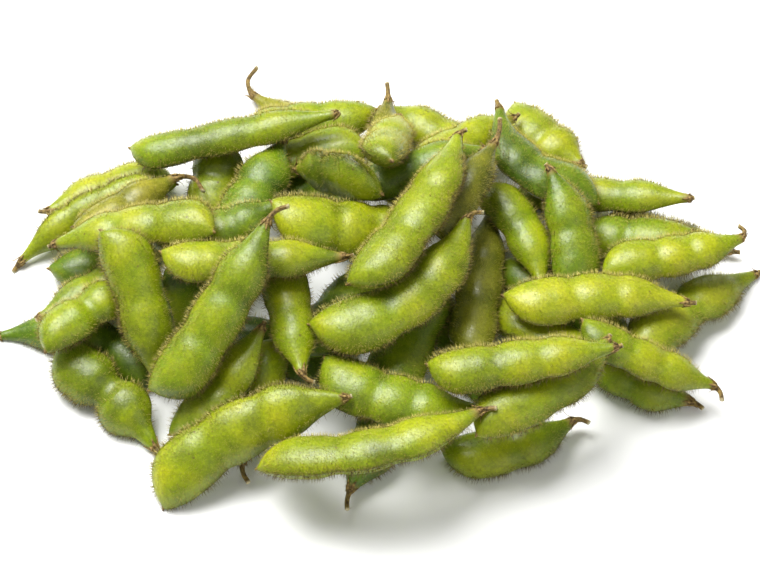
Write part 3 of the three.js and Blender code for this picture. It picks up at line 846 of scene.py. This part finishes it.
@dataclass
class Hairs:
    """The down of one pod: stiff hairs, closer, longer, thicker and rustier towards the sutures."""

    width: tuple[float, float] = (0.05 * MM, 0.11 * MM)
    on_face: tuple[float, float] = (0.6 * MM, 1.4 * MM)   # how long the hairs are
    on_seam: tuple[float, float] = (1.5 * MM, 2.6 * MM)
    seam_mark: float = 0.25     # a patch with a higher seam mark lies on a suture
    seam_share: float = 0.06    # of the hairs that are kept for the sutures
    face_share: float = 1.0     # how close hairs stand on a face, where the sutures have this and 1 more
    hidden_share: float = 0.04  # how close they stand where another pod hides them
    dry_mark: float = 0.6       # a patch with a higher dry mark is withered
    dry_share: float = 1.4      # how much closer hairs stand there
    rim_length: float = 0.65    # how much longer they grow towards the sutures
    rim_width: float = 0.75     # how much thicker
    rim_rust: float = 0.1       # how much rustier
    seam_rust: tuple[float, float] = (0.2, 0.8)
    face_rust: float = 0.25     # at most
    dry_rust: tuple[float, float] = (0.4, 1.0)
    downward_painted_shade: float = 0.7     # painted shade: how much darker the hairs are made the more they point down
    painted_shade_from: float = 0.35    # the upward share of a hair's direction below which that painted shade starts
    lean: float = 0.2           # how far they lean towards the pod's point, at most
    stray: float = 0.14         # how far they stray from that
    root: float = 0.12 * MM     # how deep in the skin they start

    def claims(self, skin: Surface, open_share: Array) -> Array:
        """Weighs each quad of the skin by how much down shows on it.

        Args:
            skin: the pod's fine skin.
            open_share: how open to the outside each quad is, from 0 to 1.

        Returns:
            Each quad's area, cut down where it is hidden and raised where it is dry.
        """
        numbers, _, facing = skin.quads()
        area = np.linalg.norm(facing, axis=1) / 2
        dry = skin.marks["dry"][numbers].mean(axis=1)
        return area * (self.hidden_share + open_share) * np.where(dry > self.dry_mark, self.dry_share, 1.0)

    def build(self, form: PodForm, skin: Surface, claim: Array, count: int,
              rng: np.random.Generator) -> tuple[Array, Array, Marks]:
        """Stands hairs all over the skin.

        Args:
            form: the pod's form.
            skin: its fine skin.
            claim: each quad's claim to hairs.
            count: how many hairs the pod has.
            rng: the pod's own draws.

        Returns:
            The hairs' points, faces and marks.
        """
        numbers, corners, facing = skin.quads()
        seam = skin.marks["seam"][numbers].mean(axis=1)
        dry = skin.marks["dry"][numbers].mean(axis=1)
        rims = skin.rim[numbers].mean(axis=1)
        graded = claim * (self.face_share + rims)
        edge = claim * (seam > self.seam_mark)
        chance = (1 - self.seam_share) * graded / graded.sum() + self.seam_share * edge / edge.sum()
        picked = rng.choice(len(numbers), count, p=chance / chance.sum())
        right, up = rng.random((2, count))
        share = np.stack([(1 - right) * (1 - up), right * (1 - up), right * up, (1 - right) * up], axis=1)
        foot = np.einsum("hc,hcx->hx", share, corners[picked])
        onward = form.tip - form.centres[0]
        onward = onward / np.linalg.norm(onward)
        lean = rng.uniform(0.0, self.lean, (count, 1))
        way = unit(unit(facing)[picked] + lean * onward + rng.normal(0, self.stray, (count, 3)))
        on_seam = seam[picked] > self.seam_mark
        rim = rims[picked]
        reach = np.where(on_seam, rng.uniform(*self.on_seam, count),
                         rng.uniform(*self.on_face, count) * (1 + self.rim_length * rim))
        rust = np.where(on_seam, rng.uniform(*self.seam_rust, count), rng.uniform(0, self.face_rust, count))
        # painted shade: hairs that point down are darkened through the same rust mark
        rust = rust + self.rim_rust * rim + self.downward_painted_shade * np.clip(self.painted_shade_from - way[:, 2], 0, 1)
        rust = np.minimum(np.maximum(rust, dry[picked] * rng.uniform(*self.dry_rust, count)), 1)
        width = rng.uniform(*self.width, count) * (1 + self.rim_width * rim)
        return self._spikes(foot, way, reach, width, rust)

    def _spikes(self, foot: Array, way: Array, reach: Array, width: Array,
                rust: Array) -> tuple[Array, Array, Marks]:
        """Makes each hair a closed three-sided spike with its base just inside the skin.

        Args:
            foot: where each hair leaves the skin.
            way: its direction, of length one.
            reach: how long it is.
            width: how thick it is at its base.
            rust: how rusty it is, with painted shade on hairs that point down.

        Returns:
            The hairs' points, faces and marks.
        """
        askew = np.array([0.31, 0.53, 0.79])   # any direction that no hair has
        side = unit(np.cross(way, askew))
        other = np.cross(way, side)
        base = foot - way * self.root
        corners = [base + width[:, None] / 2 * (math.cos(turn) * side + math.sin(turn) * other)
                   for turn in (0, 2 * math.pi / 3, 4 * math.pi / 3)]
        top = foot + way * reach[:, None]
        points = np.stack([*corners, top], axis=1).reshape(-1, 3)
        points[:, 2] = np.maximum(points[:, 2], FLOOR_GAP)
        start = np.arange(len(foot))[:, None, None] * 4
        spike = np.array([[0, 1, 3], [1, 2, 3], [2, 0, 3], [0, 2, 1]])
        faces = (start + spike[None]).reshape(-1, 3)
        return points, faces, {"rust": np.repeat(rust, 4)}


@dataclass
class CalyxTeeth:
    """The withered calyx: narrow teeth that clasp the neck or lie back on the stalk, some peeled away."""

    count: int = 6
    uneven: float = 0.2         # how unevenly they stand round the neck, as a share of their spacing
    length: tuple[float, float] = (2.0, 3.8)   # in mm
    widths: tuple[float, ...] = (0.5, 0.68, 0.48, 0.28, 0.06)   # half widths from foot to tip, in mm
    thickness: float = 0.24 * MM
    keel: float = 0.4           # how far the inner side stands in, as a share of the thickness
    foot: float = 0.8 * MM      # how far before the calyx a tooth starts
    gap: float = 0.08 * MM      # between the skin and a tooth that lies on it
    flank_turn: float = 0.2     # the turn round the pod that gives a tooth's sideways direction
    turned_back: float = 0.35   # the chance that one lies back along the stalk
    back_reach: float = 0.85    # how much of the stalk it may then cover
    peeled: float = 0.25        # the chance that one is peeled away
    peel: tuple[float, float] = (0.3, 0.9)   # how far it then stands off, as a share of its length
    loose: float = 0.1          # how far the others stand off, at most
    curl: float = 0.4           # how much shorter a peeled tooth's reach is

    def build(self, row: Stations, rng: np.random.Generator) -> tuple[Array, list, Marks]:
        """Makes the teeth of one pod.

        Args:
            row: the pod's smooth rows.
            rng: the pod's own draws.

        Returns:
            The teeth's points and faces, and no marks.
        """
        points: list[Array] = []
        faces: list[list[int]] = []
        for tooth in range(self.count):
            turn = 2 * math.pi * (tooth + rng.uniform(-self.uneven, self.uneven)) / self.count
            length = rng.uniform(*self.length) * MM
            onward = 1.0
            if rng.random() < self.turned_back:
                onward, length = -1.0, min(length, self.back_reach * row.calyx)
            peel = rng.uniform(*self.peel) if rng.random() < self.peeled else rng.uniform(0.0, self.loose)
            start = len(points)
            for step, width in enumerate(self.widths):
                share = step / (len(self.widths) - 1)
                reach = row.calyx + onward * (length * share * (1 - self.curl * peel * share) - self.foot)
                lift = self.gap + peel * length * share ** 2
                middle = row.on_skin(reach, turn, lift)
                outer = row.on_skin(reach, turn, lift + self.thickness)
                left, right = (row.on_skin(reach, turn + way * self.flank_turn, lift) for way in (-1, 1))
                flank = (right - left) / np.linalg.norm(right - left) * width * MM
                points += [middle - flank, outer, middle + flank, middle - (outer - middle) * self.keel]
            for step in range(len(self.widths) - 1):
                for corner in range(4):
                    here = start + step * 4 + corner
                    after = start + step * 4 + (corner + 1) % 4
                    faces.append([here, after, after + 4, here + 4])
            faces.append([start + 3, start + 2, start + 1, start])
            faces.append([len(points) - 4, len(points) - 3, len(points) - 2, len(points) - 1])
        flat = np.array(points)
        flat[:, 2] = np.maximum(flat[:, 2], FLOOR_GAP)
        if inside_out(flat, faces):
            faces = [corners[::-1] for corners in faces]
        return flat, faces, {}


@dataclass
class Pod:
    """One pod: its skin, its down and its calyx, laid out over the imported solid's form."""

    form: PodForm
    tone: float   # from yellower, 0, to greener, 1
    rind: Rind = field(default_factory=Rind)
    hairs: Hairs = field(default_factory=Hairs)
    teeth: CalyxTeeth = field(default_factory=CalyxTeeth)
    rng: np.random.Generator = field(init=False)
    row: Stations = field(init=False)
    skin: Surface = field(init=False)

    def __post_init__(self) -> None:
        """Seeds the pod's own draws from its number, and works out its skin."""
        self.rng = np.random.default_rng(POD_SEED + int(self.form.name.split("_")[1]))
        self.row = self.rind.stations(self.form)
        self.skin = self.rind.build(self.form, self.row, self.tone, self.rng)

    def down(self, claim: Array, count: int) -> tuple[Array, Array, Marks]:
        """Gives the points, faces and marks of the pod's hairs."""
        return self.hairs.build(self.form, self.skin, claim, count, self.rng)

    def calyx(self) -> tuple[Array, list, Marks]:
        """Gives the points, faces and marks of the pod's calyx teeth."""
        return self.teeth.build(self.row, self.rng)


@dataclass
class Openness:
    """Tells how open to the outside each patch of skin is, once all the pods lie together."""

    skins: list[Surface]
    sight: float = 400 * MM     # how far a sight line has to run free
    start: float = 0.35 * MM    # how far above the skin it starts
    grazing: float = 0.05       # a line closer than this to the patch's own plane isn't counted
    block: int = 2              # patches are tested in blocks of this many quads each way
    rounds: tuple[tuple[float, int], ...] = ((12, 6), (45, 5), (88, 1))   # degrees up, number of lines
    tree: BVHTree = field(init=False)
    ways: list[Vector] = field(init=False)

    def __post_init__(self) -> None:
        """Puts all the skins into one tree of faces and sets out the sight lines."""
        points = np.vstack([skin.points for skin in self.skins])
        starts = np.cumsum([0] + [len(skin.points) for skin in self.skins[:-1]])
        faces = [[int(start) + corner for corner in face] for start, skin in zip(starts, self.skins)
                 for face in skin.faces]
        self.tree = BVHTree.FromPolygons(points.tolist(), faces)
        self.ways = []
        for degrees, count in self.rounds:
            lift = math.radians(degrees)
            for turn in np.arange(count) * 2 * math.pi / count + lift:
                level = math.cos(lift)
                self.ways.append(Vector((math.cos(turn) * level, math.sin(turn) * level, math.sin(lift))))

    def of(self, skin: Surface) -> Array:
        """Gives the share of sight lines that leave each quad of a skin freely.

        Args:
            skin: one pod's skin.

        Returns:
            One share for each quad.
        """
        along, around = skin.grid
        _, corners, facing = skin.quads()
        middles = corners.mean(axis=1).reshape(along, around, 3)
        normals = unit(facing).reshape(along, around, 3)
        shares = np.zeros((along, around))
        for row in range(0, along, self.block):
            for column in range(0, around, self.block):
                out = Vector(normals[row, column])
                at = Vector(middles[row, column]) + out * self.start
                ways = [way for way in self.ways if way.dot(out) > self.grazing]
                free = sum(1 for way in ways if self.tree.ray_cast(at, way, self.sight)[0] is None)
                shares[row:row + self.block, column:column + self.block] = free / len(self.ways)
        return shares.ravel()


# ---- the heap, the floor, the lights and the camera ----
@dataclass
class Heap:
    """All the pods, each dressed over its own solid."""

    nodes: dict
    slots: dict[str, str]
    hairs: int = 125_000    # in the whole heap

    def build(self) -> None:
        """Builds every pod's skin, down and calyx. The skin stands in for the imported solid."""
        skins = {shade: finish.build() for shade, finish in SKINS.items()}
        down, papery = PodDown().build(), DryCalyx().build()
        tones = np.random.default_rng(TONE_SEED).random(len(self.nodes))
        pods = [Pod(PodForm.read(name, solid), float(tone))
                for tone, (name, solid) in zip(tones, sorted(self.nodes.items()))]
        openness = Openness([pod.skin for pod in pods])
        claims = [pod.hairs.claims(pod.skin, openness.of(pod.skin)) for pod in pods]
        in_all = sum(float(claim.sum()) for claim in claims)
        for pod, claim in zip(pods, claims):
            name, skin = pod.form.name, pod.skin
            count = round(self.hairs * float(claim.sum()) / in_all)
            dressed = self._place(make_mesh(f"{name}_skin", skin.points, skin.faces, skin.marks), name,
                                  skins[Shade(self.slots[name])])
            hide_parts(name)
            self._place(make_mesh(f"{name}_down", *pod.down(claim, count)), name, down)
            self._place(make_mesh(f"{name}_calyx", *pod.calyx()), name, papery)
            log.info("%s: %d skin faces, %d hairs", name, len(skin.faces), count)

    def _place(self, piece: bpy.types.Object, name: str, finish: bpy.types.Material) -> bpy.types.Object:
        """Gives a piece its finish and its body.

        Args:
            piece: the new mesh object.
            name: the node that it belongs to.
            finish: its material.

        Returns:
            The piece.
        """
        piece.data.materials.append(finish)
        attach(piece, "root")
        self.slots[name]
        return piece


@dataclass(frozen=True)
class Lamp:
    """A square soft light that faces the heap."""

    name: str
    place: tuple[float, float, float]
    size: float
    watts: float


@dataclass
class Studio:
    """A white floor under broad soft lights, and a camera that looks down on the heap from the front."""

    key: Lamp = Lamp("key", (-0.5, 0.55, 1.3), 1.1, 48.0)
    fill: Lamp = Lamp("fill", (0.9, -0.9, 1.0), 1.2, 4.5)
    sky: float = 0.3              # how strong the even white light from all round is
    aim: tuple[float, float, float] = (-0.7 * MM, -0.9 * MM, 0.0)
    distance: float = 900 * MM
    elevation: float = 55.0       # degrees above the floor
    lens: float = 132.2           # focal length in mm
    sight_end: float = 20.0       # the camera sees this far
    floor_half: float = 3.0

    def build(self) -> None:
        """Builds the floor, the lights and the camera."""
        self._floor()
        self._light(self.key)
        self._light(self.fill)
        self._sky()
        self._camera()
        bpy.context.scene.view_settings.view_transform = "Standard"

    def _floor(self) -> None:
        """Lays the white paper."""
        half = self.floor_half
        corners = np.array([(-half, -half, 0), (half, -half, 0), (half, half, 0), (-half, half, 0)])
        floor = make_mesh("paper", corners, [[0, 1, 2, 3]], {})
        floor.data.materials.append(PaperSweep().build())

    @staticmethod
    def _light(lamp: Lamp) -> None:
        """Hangs one lamp.

        Args:
            lamp: which light it is, where it hangs, how large it is and how strong.
        """
        light = bpy.data.lights.new(lamp.name, "AREA")
        light.size = lamp.size
        light.energy = lamp.watts
        holder = bpy.data.objects.new(lamp.name, light)
        holder.location = lamp.place
        holder.rotation_euler = (-Vector(lamp.place)).to_track_quat("-Z", "Y").to_euler()
        bpy.context.scene.collection.objects.link(holder)

    def _sky(self) -> None:
        """Fills the shadows with even white light."""
        world = bpy.data.worlds.new("studio")
        world.use_nodes = True
        back = world.node_tree.nodes["Background"]
        back.inputs["Color"].default_value = (1.0, 1.0, 1.0, 1.0)
        back.inputs["Strength"].default_value = self.sky
        bpy.context.scene.world = world

    def _camera(self) -> None:
        """Sets the camera in front of the heap, looking down at it."""
        lift = math.radians(self.elevation)
        view = bpy.data.cameras.new("camera")
        view.lens = self.lens
        view.clip_end = self.sight_end
        holder = bpy.data.objects.new("camera", view)
        aim = Vector(self.aim)
        holder.location = aim + self.distance * Vector((0, -math.cos(lift), math.sin(lift)))
        holder.rotation_euler = (aim - holder.location).to_track_quat("-Z", "Y").to_euler()
        bpy.context.scene.collection.objects.link(holder)
        bpy.context.scene.camera = holder


def main() -> None:
    """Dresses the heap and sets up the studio."""
    logging.basicConfig(level=logging.INFO, format="%(name)s: %(message)s")
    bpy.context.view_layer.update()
    slots = {row["node"]: row["material_slot"] for row in frame["record"]["subparts"]}
    Heap(frame["nodes"], slots).build()
    Studio().build()


if __name__ == "__main__":
    main()
